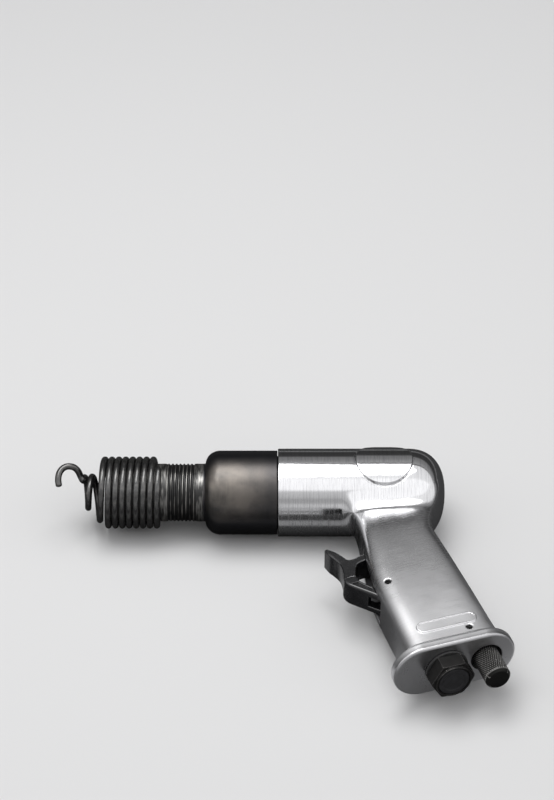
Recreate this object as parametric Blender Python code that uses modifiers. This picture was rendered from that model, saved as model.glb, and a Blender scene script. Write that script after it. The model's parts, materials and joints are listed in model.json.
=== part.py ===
"""Pneumatic air hammer with a pistol grip, lying on its side.

The barrel axis runs along X with the nose towards -X, the grip points towards -Y, and +Z is up
through the tool's width. All constants are in millimetres; the geometry is made in metres.
"""
import math

import bmesh
import bpy
from mathutils import Matrix, Vector

MM = 0.001
GAP = 0.3                     # clearance between neighbouring pieces

# Housing, measured along the barrel axis from the housing's front face.
HOUSING_R = 22.5
HOUSING_REAR = 85.3
DOME_START = 66.0
DOME_POWER = 2.4
CAVITY_R = 18.8
CAVITY_END = 56.5
BADGE_X = 53.8
BADGE_HALF_LENGTH = 14.4
BADGE_HALF_WIDTH = 14.3
BADGE_PROUD = 0.8

# Barrel.
BARREL_R = 21.5
NECK_R = 14.8
NECK_START = -37.0
SHOULDER_END = -29.5
NOSE_FACE = -85.0
SPIGOT_R = 18.5
SPIGOT_END = 38.0
BORE_R = 9.5
BORE_FRONT = -42.0
SHANK_R = 5.1
THREAD_PITCH = 1.95
THREAD_DEPTH = 0.6
THREAD_START = -41.5
THREAD_COUNT = 8

# Hammer piston and valve.
PISTON_R = 9.35
PISTON_LENGTH = 38.0
PISTON_REAR = 37.2
VALVE_CASE_R = 18.5
VALVE_CASE_FRONT_END = 45.2
VALVE_CASE_REAR_START = 45.5
VALVE_CASE_REAR_END = 52.8
VALVE_CHAMBER_R = 13.0
VALVE_DISC_R = 12.6
VALVE_DISC_THICKNESS = 1.6
VALVE_CHAMBER_START = 41.4

# Retainer spring.
WIRE_R = 1.65
COIL_R = 16.85
COIL_PITCH = 3.54
COIL_TURNS = 8
COIL_REAR = -60.7
GATE_R = 7.8
GATE_PITCH = 3.9
POINTS_PER_TURN = 14

# Grip, measured along its own axis: h runs down the grip, s runs rearwards across it.
GRIP_TILT = math.radians(18.0)
OUTLET_R = 2.6
FEED_R = 3.2
SIDE_PORT_R = 3.0
GRIP_ORIGIN_X = 43.1
FLANGE_TOP = 126.0
FLANGE_FACE = 131.5
FLANGE_MIDDLE_S = -0.5
FLANGE_HALF_LENGTH = 30.5
FLANGE_HALF_WIDTH = 14.6

# Trigger and throttle valve.
PIVOT_S = -16.0
PIVOT_H = 81.0
EYE_R = 4.0
TONGUE_END = -14.5
PIN_R = 1.25
PIN_HOLE_R = 1.55
PIN_HALF_LENGTH = 12.0
TRIGGER_HALF_WIDTH = 6.4
SLOT_LOW = (-34.0, 48.6)      # front and upper end of the slot, as (s, h)
SLOT_HIGH = (-9.5, 87.0)
SLOT_HALF_WIDTH = 6.8
THROTTLE_H = 53.0
STEM_R = 1.8
STEM_FRONT = -14.2
SEAT = 4.5

# Air inlet and regulator.
INLET_S = -5.0
HEX_FLAT = 19.05
HEX_START = 133.3
HEX_END = 140.8
COLLAR_R = 8.9
COLLAR_END = 141.9
MOUTH_R = 7.9
MOUTH_DEPTH = 2.4
INLET_BORE_R = 6.1
INLET_TUBE_R = 8.1
INLET_TUBE_END = 113.0
SCREEN_H = 119.3
SCREEN_THICKNESS = 1.0
PORT_H = 104.0
REGULATOR_S = 15.4
KNOB_R = 6.3
KNOB_START = 127.6
KNOB_END = 146.8
SPINDLE_R = 5.2
SPINDLE_TOP = 98.5
REGULATOR_PIN_S = 9.8
REGULATOR_PIN_H = 121.7
OPENING_R = 7.7


# ---------------------------------------------------------------- materials

MATERIALS = {
    "polished_aluminium": ((0.78, 0.78, 0.79), 0.18, 1.0),
    "black_steel": ((0.045, 0.042, 0.040), 0.38, 0.9),
    "spring_black": ((0.030, 0.030, 0.030), 0.35, 0.8),
    "trigger_black": ((0.020, 0.020, 0.021), 0.28, 0.0),
    "bright_steel": ((0.60, 0.60, 0.60), 0.25, 1.0),
    "brass": ((0.72, 0.53, 0.25), 0.30, 1.0),
    "rubber": ((0.022, 0.022, 0.022), 0.75, 0.0),
    "plug_black": ((0.030, 0.030, 0.032), 0.50, 0.0),
}


def make_material(name):
    """Principled material for one finish."""
    colour, roughness, metallic = MATERIALS[name]
    material = bpy.data.materials.new(name)
    material.use_nodes = True
    shader = material.node_tree.nodes["Principled BSDF"]
    shader.inputs["Base Color"].default_value = (*colour, 1.0)
    shader.inputs["Roughness"].default_value = roughness
    shader.inputs["Metallic"].default_value = metallic
    material.diffuse_color = (*colour, 1.0)
    return material


# ---------------------------------------------------------------- scene set-up

for old in list(bpy.data.objects):
    bpy.data.objects.remove(old, do_unlink=True)
scene = bpy.context.scene
parts = bpy.data.collections.new("air_hammer")
cutters = bpy.data.collections.new("cutters")
scene.collection.children.link(parts)
scene.collection.children.link(cutters)
finishes = {name: make_material(name) for name in MATERIALS}


def make_frame(name, origin, x_axis, z_axis, parent=None):
    """Empty whose local Z lies along z_axis and local X along x_axis, placed at origin."""
    z_axis = Vector(z_axis).normalized()
    x_axis = Vector(x_axis).normalized()
    y_axis = z_axis.cross(x_axis)
    rotation = Matrix((x_axis, y_axis, z_axis)).transposed().to_4x4()
    empty = bpy.data.objects.new(name, None)
    empty.empty_display_size = 0.01
    scene.collection.objects.link(empty)
    empty.parent = parent
    empty.matrix_local = Matrix.Translation(Vector(origin) * MM) @ rotation
    return empty


DOWN = Vector((math.sin(GRIP_TILT), -math.cos(GRIP_TILT), 0.0))      # along the grip
BACK = Vector((math.cos(GRIP_TILT), math.sin(GRIP_TILT), 0.0))       # across the grip
UP = Vector((0.0, 0.0, 1.0))


def grip_point(s, h, z=0.0):
    """Point in tool coordinates of a place in the grip, in millimetres."""
    return Vector((GRIP_ORIGIN_X, 0.0, 0.0)) + BACK * s + DOWN * h + UP * z


root = make_frame("tool_origin", (0, 0, 0), (1, 0, 0), (0, 0, 1))
barrel_axis = make_frame("barrel_axis", (0, 0, 0), (0, 0, -1), (1, 0, 0), root)
grip_axis = make_frame("grip_axis", grip_point(0, 0), BACK, DOWN, root)
inlet_axis = make_frame("inlet_axis", grip_point(INLET_S, 0), BACK, DOWN, root)
regulator_axis = make_frame("regulator_axis", grip_point(REGULATOR_S, 0), BACK, DOWN, root)
throttle_axis = make_frame("throttle_axis", grip_point(0, THROTTLE_H), DOWN, BACK, root)
trigger_pivot = make_frame("trigger_pivot", grip_point(PIVOT_S, PIVOT_H), BACK, UP, root)
regulator_pin_axis = make_frame(
    "regulator_pin_axis", grip_point(REGULATOR_PIN_S, REGULATOR_PIN_H), BACK, UP, root)


def add_object(name, data, frame, finish=None):
    """Link a mesh or curve as a part with a finish, or as a cutter without one."""
    piece = bpy.data.objects.new(name, data)
    if finish is None:
        cutters.objects.link(piece)
        piece.hide_render = True
        piece.display_type = "WIRE"
    else:
        parts.objects.link(piece)
        data.materials.append(finishes[finish])
    piece.parent = frame
    return piece


# ---------------------------------------------------------------- shape helpers

def turned(name, profile, frame, finish=None, steps=32):
    """Turned piece. profile is (radius, height) down the outer side, in millimetres.

    A profile that starts and ends on the axis is solid; any other is closed into a ring.
    """
    solid = profile[0][0] == 0 and profile[-1][0] == 0
    mesh = bpy.data.meshes.new(name)
    shape = bmesh.new()
    points = [shape.verts.new((r * MM, 0, z * MM)) for r, z in profile]
    for first, second in zip(points, points[1:]):
        shape.edges.new((first, second))
    if not solid:
        shape.edges.new((points[-1], points[0]))
    shape.to_mesh(mesh)
    shape.free()
    piece = add_object(name, mesh, frame, finish)
    screw = piece.modifiers.new("turn", "SCREW")
    screw.axis = "Z"
    screw.steps = steps
    screw.render_steps = steps
    screw.use_merge_vertices = True
    screw.merge_threshold = 0.00001
    screw.use_smooth_shade = True
    return piece


def outline_plate(name, outline, low, high, frame, finish=None):
    """Flat plate with a closed outline in the frame's XY plane, from low to high along Z."""
    curve = bpy.data.curves.new(name, "CURVE")
    curve.dimensions = "2D"
    curve.fill_mode = "BOTH"
    curve.extrude = (high - low) / 2 * MM
    spline = curve.splines.new("POLY")
    spline.points.add(len(outline) - 1)
    for point, (x, y) in zip(spline.points, outline):
        point.co = (x * MM, y * MM, 0, 1)
    spline.use_cyclic_u = True
    guide = add_object(name + "_curve", curve, frame)
    guide.location = (0, 0, (low + high) / 2 * MM)
    piece = curve_to_mesh(guide, name, finish)
    return piece


def curve_to_mesh(guide, name, finish):
    """Turn a curve object into a closed mesh object in the same place."""
    bpy.context.view_layer.update()
    evaluated = guide.evaluated_get(bpy.context.evaluated_depsgraph_get())
    mesh = bpy.data.meshes.new_from_object(evaluated)
    mesh.name = name
    shape = bmesh.new()
    shape.from_mesh(mesh)
    bmesh.ops.remove_doubles(shape, verts=shape.verts, dist=0.00001)
    shape.to_mesh(mesh)
    shape.free()
    mesh.materials.clear()
    piece = add_object(name, mesh, guide.parent, finish)
    piece.matrix_world = guide.matrix_world
    bpy.data.objects.remove(guide, do_unlink=True)
    return piece


def box(name, low, high, frame, finish=None):
    """Box from its low corner to its high corner in a frame."""
    size = [(b - a) * MM for a, b in zip(low, high)]
    middle = [(a + b) / 2 * MM for a, b in zip(low, high)]
    mesh = bpy.data.meshes.new(name)
    shape = bmesh.new()
    bmesh.ops.create_cube(shape, size=1.0)
    bmesh.ops.scale(shape, vec=size, verts=shape.verts)
    shape.to_mesh(mesh)
    shape.free()
    piece = add_object(name, mesh, frame, finish)
    piece.location = middle
    return piece


def rod(name, start, end, radius, finish=None, sides=24):
    """Straight round rod between two points in tool coordinates."""
    start = Vector(start)
    end = Vector(end)
    mesh = bpy.data.meshes.new(name)
    shape = bmesh.new()
    bmesh.ops.create_cone(
        shape, cap_ends=True, segments=sides, radius1=radius * MM, radius2=radius * MM,
        depth=(end - start).length * MM)
    shape.to_mesh(mesh)
    shape.free()
    piece = add_object(name, mesh, root, finish)
    piece.location = (start + end) / 2 * MM
    piece.rotation_euler = UP.rotation_difference(end - start).to_euler()
    return piece


def combine(piece, other, operation):
    """Boolean of another object on a piece; the other object becomes a cutter."""
    step = piece.modifiers.new(operation.lower() + "_" + other.name, "BOOLEAN")
    step.operation = operation
    step.solver = "EXACT"
    step.object = other


def superellipse(half_x, half_y, power, count):
    """Closed rounded outline, counter-clockwise."""
    points = []
    for index in range(count):
        angle = math.tau * index / count
        c = math.cos(angle)
        s = math.sin(angle)
        points.append((half_x * math.copysign(abs(c) ** (2 / power), c),
                       half_y * math.copysign(abs(s) ** (2 / power), s)))
    return points


def interpolate(table, h):
    """Value at h from (h, value) stations joined by straight lines, with flat ends."""
    if h <= table[0][0]:
        return table[0][1]
    for (h0, v0), (h1, v1) in zip(table, table[1:]):
        if h <= h1:
            t = (h - h0) / (h1 - h0)
            return v0 + (v1 - v0) * t
    return table[-1][1]


# ---------------------------------------------------------------- housing

GRIP_FRONT = [(14, -12.0), (31, -13.2), (50, -17.0), (62, -19.6), (73, -21.2), (84, -21.9),
              (100, -22.2), (118, -22.3), (128, -23.2)]
GRIP_REAR = [(12, 34.0), (24, 31.5), (34, 26.0), (41, 21.6), (47, 20.2), (55, 20.4),
             (70, 21.2), (96, 22.2), (122, 23.0), (128, 24.0)]
GRIP_HALF_WIDTH = [(14, 9.5), (24, 10.0), (33, 12.0), (42, 13.7), (55, 14.2), (75, 14.2),
                   (100, 13.8), (118, 13.2), (128, 13.0)]
GRIP_POWER = 6.0


def grip_loft():
    """Grip: rounded sections lofted down the grip axis."""
    stations = [16, 24, 32, 40, 47, 55, 65, 78, 92, 106, 118, 128]
    count = 32
    mesh = bpy.data.meshes.new("grip_body")
    shape = bmesh.new()
    rings = []
    for h in stations:
        front = interpolate(GRIP_FRONT, h)
        rear = interpolate(GRIP_REAR, h)
        width = interpolate(GRIP_HALF_WIDTH, h)
        middle = (front + rear) / 2
        ring = [shape.verts.new(((middle + x) * MM, y * MM, h * MM))
                for x, y in superellipse((rear - front) / 2, width, GRIP_POWER, count)]
        rings.append(ring)
    for upper, lower in zip(rings, rings[1:]):
        for index in range(count):
            after = (index + 1) % count
            shape.faces.new((upper[index], upper[after], lower[after], lower[index]))
    shape.faces.new(reversed(rings[0]))
    shape.faces.new(rings[-1])
    bmesh.ops.recalc_face_normals(shape, faces=shape.faces)
    shape.to_mesh(mesh)
    shape.free()
    return add_object("grip_body", mesh, grip_axis)


def badge_pad():
    """Blank oval pad that follows the round side of the housing."""
    outline = [(BADGE_X + x, y) for x, y in
               superellipse(BADGE_HALF_LENGTH, BADGE_HALF_WIDTH, 2.2, 32)]
    pad = outline_plate("badge_pad", outline, 12, 26, root)
    skin = turned("badge_skin", [(0, BADGE_X + 20), (HOUSING_R + BADGE_PROUD, BADGE_X + 20),
                                 (HOUSING_R + BADGE_PROUD, BADGE_X - 20), (0, BADGE_X - 20)],
                  barrel_axis, steps=64)
    combine(pad, skin, "INTERSECT")
    return pad


def flange_outline():
    """Foot flange outline: two half circles joined by straight sides."""
    reach = FLANGE_HALF_LENGTH - FLANGE_HALF_WIDTH
    points = []
    for side in (1, -1):
        for index in range(17):
            angle = math.pi * (index / 16 - 0.5)
            points.append((FLANGE_MIDDLE_S + side * (reach + FLANGE_HALF_WIDTH * math.cos(angle)),
                           side * FLANGE_HALF_WIDTH * math.sin(angle)))
    return points


def housing():
    """One casting: round body with a domed rear, grip, oval foot flange and blank badge pad."""
    dome_length = HOUSING_REAR - DOME_START
    dome = []
    for index in range(1, 9):
        angle = math.pi / 2 * index / 9
        dome.append((HOUSING_R * math.sin(angle) ** (2 / DOME_POWER),
                     DOME_START + dome_length * math.cos(angle) ** (2 / DOME_POWER)))
    profile = [(0, HOUSING_REAR), *dome, (HOUSING_R, DOME_START), (HOUSING_R, 0.4),
               (HOUSING_R - 0.4, 0), (0, 0)]
    body = turned("housing", profile, barrel_axis, "polished_aluminium", steps=48)
    flange = outline_plate("flange", flange_outline(), FLANGE_TOP, FLANGE_FACE, grip_axis)
    bevel = flange.modifiers.new("round_edge", "BEVEL")
    bevel.width = 1.2 * MM
    bevel.segments = 2
    for joined in (grip_loft(), flange, badge_pad()):
        combine(body, joined, "UNION")
    for cutter in housing_cutters():
        combine(body, cutter, "DIFFERENCE")
    return body


def housing_cutters():
    """Bores, galleries, trigger slot and pin holes of the housing."""
    cavity = turned("cavity", [(0, CAVITY_END), (CAVITY_R, CAVITY_END), (CAVITY_R, -5), (0, -5)],
                    barrel_axis, steps=48)
    slot = box("trigger_slot", (SLOT_LOW[0], -SLOT_HALF_WIDTH, SLOT_LOW[1]),
               (SLOT_HIGH[0], SLOT_HALF_WIDTH, SLOT_HIGH[1]), grip_axis)
    throttle = turned("throttle_bore",
                      [(0, 17.2), (5.0, 17.2), (5.0, SEAT), (6.5, SEAT), (6.5, -13), (0, -13)],
                      throttle_axis)
    gallery = rod("outlet_gallery", grip_point(0, 48), grip_point(7, 15), OUTLET_R)
    feed = rod("feed_passage", grip_point(REGULATOR_S, 99.4), grip_point(11, 54.5), FEED_R)
    inlet = turned("inlet_bore", [(0, 140), (8.5, 140), (8.5, 112.6), (4.5, 112.6), (4.5, 100),
                                  (0, 100)], inlet_axis)
    side_port = rod("side_port", grip_point(INLET_S, PORT_H), grip_point(REGULATOR_S, PORT_H),
                    SIDE_PORT_R)
    regulator = turned("regulator_bore", [(0, 140), (OPENING_R, 140), (OPENING_R, 126),
                                          (5.5, 126), (5.5, 98), (0, 98)], regulator_axis)
    pin_holes = [
        rod("trigger_pin_hole", grip_point(PIVOT_S, PIVOT_H, -30),
            grip_point(PIVOT_S, PIVOT_H, 30), PIN_HOLE_R, sides=20),
        rod("regulator_pin_hole", grip_point(REGULATOR_PIN_S, REGULATOR_PIN_H, -30),
            grip_point(REGULATOR_PIN_S, REGULATOR_PIN_H, 30), PIN_HOLE_R, sides=20),
    ]
    return [cavity, slot, throttle, gallery, feed, inlet, side_port, regulator, *pin_holes]


# ---------------------------------------------------------------- barrel and its insides

def barrel():
    """Stepped steel barrel with a grooved neck, a shank bore and a piston bore."""
    thread = []
    for index in range(THREAD_COUNT):
        start = THREAD_START - index * THREAD_PITCH
        thread += [(NECK_R, start), (NECK_R - THREAD_DEPTH, start - 0.5 * THREAD_PITCH)]
    shoulder = []
    for index in range(5):
        angle = math.pi / 2 * index / 4
        shoulder.append((NECK_R + (BARREL_R - NECK_R) * math.cos(angle),
                         SHOULDER_END - (SHOULDER_END - NECK_START) * math.sin(angle)))
    profile = [(SPIGOT_R - 1, SPIGOT_END), (SPIGOT_R, SPIGOT_END - 1),
               (SPIGOT_R, 9.6), (SPIGOT_R - 1.6, 9.6), (SPIGOT_R - 1.6, 7.0), (SPIGOT_R, 7.0),
               (SPIGOT_R, -GAP), (BARREL_R - 0.5, -GAP), (BARREL_R, -GAP - 0.5),
               *shoulder, *thread,
               (NECK_R, THREAD_START - THREAD_COUNT * THREAD_PITCH),
               (NECK_R, NOSE_FACE + 1.5), (NECK_R - 1.5, NOSE_FACE), (SHANK_R + 0.6, NOSE_FACE),
               (SHANK_R, NOSE_FACE + 0.6), (SHANK_R, BORE_FRONT), (BORE_R, BORE_FRONT),
               (BORE_R, SPIGOT_END)]
    body = turned("barrel", profile, barrel_axis, "black_steel", steps=40)
    for index in range(3):
        angle = math.tau * index / 3 + math.radians(30)
        side = Vector((0, math.cos(angle), math.sin(angle)))
        port = rod("exhaust_port_%d" % index, Vector((4, 0, 0)) + side * 6,
                   Vector((4, 0, 0)) + side * 20, 1.6, sides=12)
        combine(body, port, "DIFFERENCE")
    return body


def ring(name, inner, outer, low, high, frame, finish, steps=32):
    """Square-edged ring."""
    return turned(name, [(outer, high), (outer, low), (inner, low), (inner, high)],
                  frame, finish, steps)


def o_ring(name, radius, section, height, frame):
    """Rubber ring of round section."""
    sides = 6
    profile = [(radius + section * math.cos(math.tau * index / sides),
                height - section * math.sin(math.tau * index / sides)) for index in range(sides)]
    return turned(name, profile, frame, "rubber", steps=24)


def piston():
    """Hardened hammer piston with a reduced striking end."""
    front = PISTON_REAR - PISTON_LENGTH
    profile = [(0, PISTON_REAR), (PISTON_R - 1, PISTON_REAR), (PISTON_R, PISTON_REAR - 1),
               (PISTON_R, 18), (PISTON_R - 0.8, 17.2), (PISTON_R - 0.8, 14.2), (PISTON_R, 13.4),
               (PISTON_R, front + 6), (PISTON_R - 2, front + 4), (PISTON_R - 2, front + 1),
               (PISTON_R - 3, front), (0, front)]
    return turned("piston", profile, barrel_axis, "bright_steel")


def valve_set():
    """Front and rear valve cases, the floating valve disc, a dowel pin and the rear gasket."""
    front = turned("valve_case_front",
                   [(VALVE_CASE_R, VALVE_CASE_FRONT_END), (VALVE_CASE_R, SPIGOT_END + GAP),
                    (4.0, SPIGOT_END + GAP), (4.0, VALVE_CHAMBER_START),
                    (VALVE_CHAMBER_R, VALVE_CHAMBER_START),
                    (VALVE_CHAMBER_R, VALVE_CASE_FRONT_END)], barrel_axis, "bright_steel")
    rear = turned("valve_case_rear",
                  [(VALVE_CASE_R, VALVE_CASE_REAR_END), (VALVE_CASE_R, VALVE_CASE_REAR_START),
                   (3.5, VALVE_CASE_REAR_START), (3.5, VALVE_CASE_REAR_END)],
                  barrel_axis, "bright_steel")
    disc_rear = VALVE_CASE_FRONT_END - 0.2
    turned("valve_disc",
           [(VALVE_DISC_R, disc_rear), (VALVE_DISC_R, disc_rear - VALVE_DISC_THICKNESS),
            (5.5, disc_rear - VALVE_DISC_THICKNESS), (5.5, disc_rear)],
           barrel_axis, "bright_steel")
    dowel_y = 15.8
    hole = rod("dowel_hole", (SPIGOT_END - 4, dowel_y, 0), (VALVE_CASE_REAR_END - 2.4, dowel_y, 0),
               1.5, sides=16)
    for piece in (front, rear, bpy.data.objects["barrel"]):
        combine(piece, hole, "DIFFERENCE")
    rod("valve_dowel", (SPIGOT_END - 3.6, dowel_y, 0), (VALVE_CASE_REAR_END - 2.8, dowel_y, 0),
        1.2, "bright_steel", sides=16)
    for index in range(4):
        angle = math.tau * index / 4 + math.pi / 4
        across = Vector((0, 9 * math.cos(angle), 9 * math.sin(angle)))
        port = rod("air_port_%d" % index, across + Vector((VALVE_CASE_REAR_START - 2, 0, 0)),
                   across + Vector((VALVE_CASE_REAR_END + 2, 0, 0)), 1.4, sides=12)
        combine(rear, port, "DIFFERENCE")
    ring("valve_gasket", 14.5, 18.3, VALVE_CASE_REAR_END + GAP, VALVE_CASE_REAR_END + 1.5,
         barrel_axis, "rubber")


def retainer_spring():
    """Close-wound nose spring, its narrow gate coil and the thumb hook, from one wire."""
    points = []
    for index in range(COIL_TURNS * POINTS_PER_TURN + 1):
        turn = index / POINTS_PER_TURN
        points.append(wire_point(COIL_R, turn, COIL_REAR - COIL_PITCH * turn))
    coil_front = COIL_REAR - COIL_PITCH * COIL_TURNS
    for index in range(1, POINTS_PER_TURN + 1):
        turn = index / POINTS_PER_TURN
        ease = (1 - math.cos(math.pi * turn)) / 2
        points.append(wire_point(COIL_R + (GATE_R - COIL_R) * ease, turn,
                                 coil_front - 5.5 * ease - 1.2 * turn))
    gate_start = coil_front - 6.7
    for index in range(1, POINTS_PER_TURN + 1):
        turn = index / POINTS_PER_TURN
        points.append(wire_point(GATE_R, turn, gate_start - GATE_PITCH * turn))
    gate_end = gate_start - GATE_PITCH
    points += [Vector((gate_end - 1.2, 1.4, 9.6)), Vector((gate_end - 2.4, 2.0, 12.6)),
               Vector((gate_end - 4.4, 2.2, 14.9)), Vector((gate_end - 7.4, 1.9, 15.8)),
               Vector((gate_end - 10.0, 0.6, 15.4)), Vector((gate_end - 11.7, -1.8, 14.2)),
               Vector((gate_end - 12.2, -4.6, 12.2)), Vector((gate_end - 11.6, -7.2, 9.9))]
    curve = bpy.data.curves.new("retainer_spring", "CURVE")
    curve.dimensions = "3D"
    curve.bevel_depth = WIRE_R * MM
    curve.bevel_resolution = 2
    curve.use_fill_caps = True
    spline = curve.splines.new("POLY")
    spline.points.add(len(points) - 1)
    for point, place in zip(spline.points, points):
        point.co = (*(place * MM), 1)
    return add_object("retainer_spring", curve, root, "spring_black")


def wire_point(radius, turn, x):
    """Point on the spring wire, starting at the top and turning towards -Y."""
    angle = math.tau * turn
    return Vector((x, -radius * math.sin(angle), radius * math.cos(angle)))


# ---------------------------------------------------------------- trigger and throttle

def trigger():
    """Finger trigger with a pusher tongue above and two arms on the pivot pin below."""
    finger_side = [(-34.9, 42.3), (-34.0, 46.5), (-32.3, 50.6), (-31.0, 55.2), (-31.5, 60.5),
                   (-32.9, 65.5), (-32.0, 69.6), (-29.0, 73.2), (-24.1, 78.5), (-21.4, 81.4)]
    eye = [(PIVOT_S + EYE_R * math.cos(math.radians(angle)),
            PIVOT_H + EYE_R * math.sin(math.radians(angle))) for angle in range(140, -91, -23)]
    inner_side = [(-20.2, 76.2), (-23.2, 72.6), (-26.1, 68.2), (-26.4, 65.2), (-25.2, 61.4),
                  (-23.8, 58.4), (-21.4, 56.2)]
    tongue = [(TONGUE_END, 55.5), (TONGUE_END, 50.3), (-19.0, 51.2), (-23.0, 52.4)]
    lip_back = [(-26.2, 52.2), (-28.0, 49.0), (-30.0, 45.4), (-33.6, 41.6)]
    outline = finger_side + eye + inner_side + tongue + lip_back
    local = [(s - PIVOT_S, h - PIVOT_H) for s, h in outline]
    body = outline_plate("trigger", [(s, -h) for s, h in local], -TRIGGER_HALF_WIDTH,
                         TRIGGER_HALF_WIDTH, trigger_pivot, "trigger_black")
    channel = box("arm_channel", (-8.5, -6.5, -3.0), (6.0, 6.5, 3.0), trigger_pivot)
    hole = rod("trigger_eye", grip_point(PIVOT_S, PIVOT_H, -20), grip_point(PIVOT_S, PIVOT_H, 20),
               PIN_HOLE_R, sides=20)
    combine(body, channel, "DIFFERENCE")
    combine(body, hole, "DIFFERENCE")
    return body


def throttle_set():
    """Throttle stem with its valve head, seat bushing, seal ring and return spring."""
    turned("throttle_stem",
           [(0, 7.4), (4.1, 7.4), (4.1, 5.2), (3.6, SEAT + GAP), (STEM_R, SEAT + GAP),
            (STEM_R, STEM_FRONT + 0.4), (STEM_R - 0.4, STEM_FRONT), (0, STEM_FRONT)],
           throttle_axis, "bright_steel", steps=24)
    bushing = turned("throttle_bushing",
                     [(6.2, SEAT - GAP), (6.2, 2.2), (5.0, 2.2), (5.0, -2.2), (6.2, -2.2),
                      (6.2, -4.2), (4.9, -4.2), (4.9, -6.2), (6.2, -6.2), (6.2, -8.3),
                      (2.1, -8.3), (2.1, -3.2), (3.3, -3.2), (3.3, SEAT - GAP)],
                     throttle_axis, "brass", steps=28)
    port = rod("bushing_port", grip_point(0, THROTTLE_H - 9), grip_point(0, THROTTLE_H + 9), 1.3,
               sides=12)
    combine(bushing, port, "DIFFERENCE")
    o_ring("bushing_seal_ring", 5.75, 0.5, -5.2, throttle_axis)
    points = []
    count = 5 * 12
    for index in range(count + 1):
        turn = index / 12
        points.append((3.3 * math.cos(math.tau * turn), 3.3 * math.sin(math.tau * turn),
                       8.2 + 8.0 * index / count))
    curve = bpy.data.curves.new("throttle_spring", "CURVE")
    curve.dimensions = "3D"
    curve.bevel_depth = 0.4 * MM
    curve.bevel_resolution = 1
    curve.use_fill_caps = True
    spline = curve.splines.new("POLY")
    spline.points.add(count)
    for point, place in zip(spline.points, points):
        point.co = (place[0] * MM, place[1] * MM, place[2] * MM, 1)
    add_object("throttle_spring", curve, throttle_axis, "bright_steel")


def pins():
    """Spring pins that hold the trigger and the regulator."""
    for name, s, h in (("trigger_pin", PIVOT_S, PIVOT_H),
                       ("regulator_pin", REGULATOR_PIN_S, REGULATOR_PIN_H)):
        rod(name, grip_point(s, h, -PIN_HALF_LENGTH), grip_point(s, h, PIN_HALF_LENGTH),
            PIN_R, "bright_steel", sides=16)


# ---------------------------------------------------------------- inlet and regulator

def inlet_set():
    """Hexagonal inlet bushing with its washer, strainer disc and transport plug."""
    corner = HEX_FLAT / math.sqrt(3)
    hexagon = [(corner * math.cos(math.pi / 3 * index), corner * math.sin(math.pi / 3 * index))
               for index in range(6)]
    bushing = outline_plate("inlet_bushing", hexagon, HEX_START, HEX_END, inlet_axis,
                            "black_steel")
    trim = turned("hex_trim", [(0, HEX_END + 1), (8.3, HEX_END + 1), (11.4, HEX_END - 1.0),
                               (11.4, HEX_START - 5), (0, HEX_START - 5)], inlet_axis, steps=48)
    combine(bushing, trim, "INTERSECT")
    tube = turned("inlet_tube", [(0, COLLAR_END), (COLLAR_R - 0.3, COLLAR_END),
                                 (COLLAR_R, COLLAR_END - 0.3), (COLLAR_R, HEX_END - 1),
                                 (INLET_TUBE_R, HEX_START + 1), (INLET_TUBE_R, INLET_TUBE_END),
                                 (0, INLET_TUBE_END)],
                  inlet_axis, steps=48)
    combine(bushing, tube, "UNION")
    floor = COLLAR_END - MOUTH_DEPTH
    bore = turned("inlet_thread_bore", [(0, 150), (MOUTH_R, 150), (MOUTH_R, floor),
                                        (INLET_BORE_R, floor), (INLET_BORE_R, SCREEN_H - GAP),
                                        (4.3, SCREEN_H - GAP), (4.3, 105), (0, 105)],
                  inlet_axis)
    combine(bushing, bore, "DIFFERENCE")
    ring("inlet_washer", 8.5, 10.4, FLANGE_FACE + GAP, HEX_START - GAP, inlet_axis, "rubber")
    screen_face = SCREEN_H + SCREEN_THICKNESS
    strainer = turned("inlet_screen", [(0, screen_face), (INLET_BORE_R - GAP, screen_face),
                                       (INLET_BORE_R - GAP, SCREEN_H), (0, SCREEN_H)],
                      inlet_axis, "brass", steps=24)
    for index in range(7):
        reach = 0 if index == 0 else 3.4
        angle = math.tau * index / 6
        hole_s = INLET_S + reach * math.cos(angle)
        hole_z = reach * math.sin(angle)
        hole = rod("screen_hole_%d" % index, grip_point(hole_s, SCREEN_H - 2, hole_z),
                   grip_point(hole_s, screen_face + 2, hole_z), 0.9, sides=10)
        combine(strainer, hole, "DIFFERENCE")
    head = COLLAR_END - 0.2
    turned("inlet_plug", [(0, head), (7.2, head), (7.6, head - 0.4), (7.6, floor + GAP),
                          (5.8, floor + GAP), (5.8, 129.0), (4.6, 129.0), (4.6, head - 1.6),
                          (0, head - 1.6)], inlet_axis, "plug_black")


def regulator_set():
    """Rotary air regulator: knob, spindle with a side window, and its seal ring."""
    spindle = turned("regulator",
                     [(0, KNOB_END), (KNOB_R - 1.1, KNOB_END), (KNOB_R, KNOB_END - 1.4),
                      (KNOB_R, KNOB_START), (KNOB_R - 0.8, KNOB_START - 1),
                      (SPINDLE_R, KNOB_START - 1),
                      (SPINDLE_R, 123.3), (4.0, 123.3), (4.0, 120.1), (SPINDLE_R, 120.1),
                      (SPINDLE_R, 115.2), (4.1, 115.2), (4.1, 113.0), (SPINDLE_R, 113.0),
                      (SPINDLE_R, SPINDLE_TOP), (3.0, SPINDLE_TOP), (3.0, 108), (0, 108)],
                     regulator_axis, "black_steel")
    window = rod("regulator_window", grip_point(REGULATOR_S, PORT_H),
                 grip_point(REGULATOR_S - 8, PORT_H), 2.6, sides=16)
    combine(spindle, window, "DIFFERENCE")
    o_ring("regulator_seal_ring", 4.75, 0.55, 114.1, regulator_axis)


# ---------------------------------------------------------------- assembly

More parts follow.
